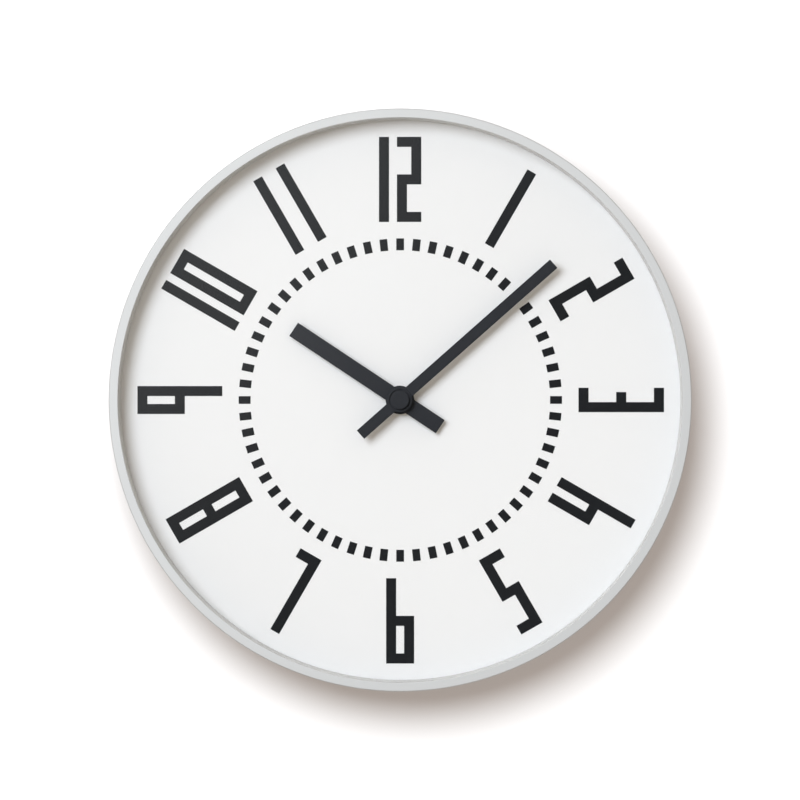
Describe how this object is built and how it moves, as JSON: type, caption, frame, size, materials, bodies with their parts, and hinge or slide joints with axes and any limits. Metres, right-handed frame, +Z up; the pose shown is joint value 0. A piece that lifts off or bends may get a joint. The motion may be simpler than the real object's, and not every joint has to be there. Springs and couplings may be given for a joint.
{
  "type": "wall clock",
  "caption": "Round station-style analogue wall clock in a deep satin aluminium ring, with block numerals, bar hands, a battery movement and a keyhole hanger.",
  "frame": {"origin": "the point where the nail carries the keyhole plate, on the plane of the wall; the clock's own axis runs along Y, 116 mm below it", "axes": "+Y into the wall, so the dial faces -Y; +Z up; +X to the right as one reads the dial"},
  "size_m": [0.29, 0.05, 0.29],
  "materials": {
    "satin_aluminium": "satin",
    "clear_glass": "gloss",
    "white_plastic": "satin",
    "white_enamel": "satin",
    "black_lacquer": "satin",
    "grey_plastic": "matte",
    "black_plastic": "matte",
    "zinc_steel": "satin",
    "brass": "satin",
    "black_rubber": "matte",
    "wheel_plastic": "satin",
    "board_laminate": "satin",
    "copper_wire": "gloss",
    "magnet": "satin",
    "cell_jacket": "gloss"
  },
  "bodies": {
    "clock_body": {"case_ring": "satin_aluminium", "glass": "clear_glass", "spacer_ring": "white_plastic", "dial_plate": "white_enamel", "inner_frame": "white_plastic", "back_cover": "grey_plastic", "back_cover_screw_1": "zinc_steel", "back_cover_screw_2": "zinc_steel", "back_cover_screw_3": "zinc_steel", "back_cover_screw_4": "zinc_steel", "hanger_plate": "zinc_steel", "hanger_rivet_left": "zinc_steel", "hanger_rivet_right": "zinc_steel", "threaded_bush": "brass", "rubber_washer": "black_rubber", "dial_washer": "brass", "dial_nut": "brass", "movement_front_case": "black_plastic", "movement_rear_cover": "black_plastic", "train_plate": "wheel_plastic", "stator": "zinc_steel", "coil_core": "zinc_steel", "coil_bobbin": "wheel_plastic", "coil_winding": "copper_wire", "circuit_board": "board_laminate", "control_chip": "black_plastic", "quartz_crystal": "zinc_steel", "battery_contact_positive": "zinc_steel", "battery_contact_negative": "zinc_steel"},
    "minute_work": {"minute_hand": "black_lacquer", "hand_cap": "black_lacquer", "cannon_pinion": "brass"},
    "hour_work": {"hour_hand": "black_lacquer", "hour_wheel": "wheel_plastic"},
    "motion_work": {"motion_wheel": "wheel_plastic"},
    "knob": {"setting_knob": "black_plastic"},
    "rotor_work": {"rotor": "magnet"},
    "fifth_work": {"fifth_wheel": "wheel_plastic"},
    "seconds_work": {"seconds_wheel": "wheel_plastic"},
    "third_work": {"third_wheel": "wheel_plastic"},
    "centre_work": {"centre_wheel": "brass"},
    "battery": {"battery_cell": "cell_jacket"}
  },
  "joints": [
    {"name": "minute_turn", "type": "hinge", "parent": "clock_body", "child": "minute_work", "pos_m": [0, -0.042, -0.116], "axis": [0, 1, 0], "continuous": true},
    {"name": "hour_turn", "type": "hinge", "parent": "clock_body", "child": "hour_work", "pos_m": [0, -0.038, -0.116], "axis": [0, 1, 0], "continuous": true},
    {"name": "motion_turn", "type": "hinge", "parent": "clock_body", "child": "motion_work", "pos_m": [-0.00693, -0.0286, -0.112], "axis": [0, 1, 0], "continuous": true},
    {"name": "knob_turn", "type": "hinge", "parent": "clock_body", "child": "knob", "pos_m": [-0.01579, -0.0142, -0.11044], "axis": [0, 1, 0], "continuous": true},
    {"name": "rotor_turn", "type": "hinge", "parent": "clock_body", "child": "rotor_work", "pos_m": [-0.00433, -0.0199, -0.10406], "axis": [0, 1, 0], "continuous": true},
    {"name": "fifth_turn", "type": "hinge", "parent": "clock_body", "child": "fifth_work", "pos_m": [0.00188, -0.0221, -0.10297], "axis": [0, 1, 0], "continuous": true},
    {"name": "seconds_turn", "type": "hinge", "parent": "clock_body", "child": "seconds_work", "pos_m": [0.00833, -0.0234, -0.10353], "axis": [0, 1, 0], "continuous": true},
    {"name": "third_turn", "type": "hinge", "parent": "clock_body", "child": "third_work", "pos_m": [0.00913, -0.0247, -0.11268], "axis": [0, 1, 0], "continuous": true},
    {"name": "centre_turn", "type": "hinge", "parent": "clock_body", "child": "centre_work", "pos_m": [0, -0.026, -0.116], "axis": [0, 1, 0], "continuous": true},
    {"name": "battery_slide", "type": "slide", "parent": "clock_body", "child": "battery", "axis": [0, 1, 0], "range_m": [0, 0.02]}
  ],
  "couplings": [
    {"joint": "hour_turn", "follows": "minute_turn", "ratio": 0.083333},
    {"joint": "motion_turn", "follows": "minute_turn", "ratio": -0.33333},
    {"joint": "knob_turn", "follows": "minute_turn", "ratio": 0.66667},
    {"joint": "fifth_turn", "follows": "rotor_turn", "ratio": -0.16667},
    {"joint": "seconds_turn", "follows": "rotor_turn", "ratio": 0.033333},
    {"joint": "third_turn", "follows": "rotor_turn", "ratio": -0.0044444},
    {"joint": "centre_turn", "follows": "rotor_turn", "ratio": 0.00055556}
  ]
}
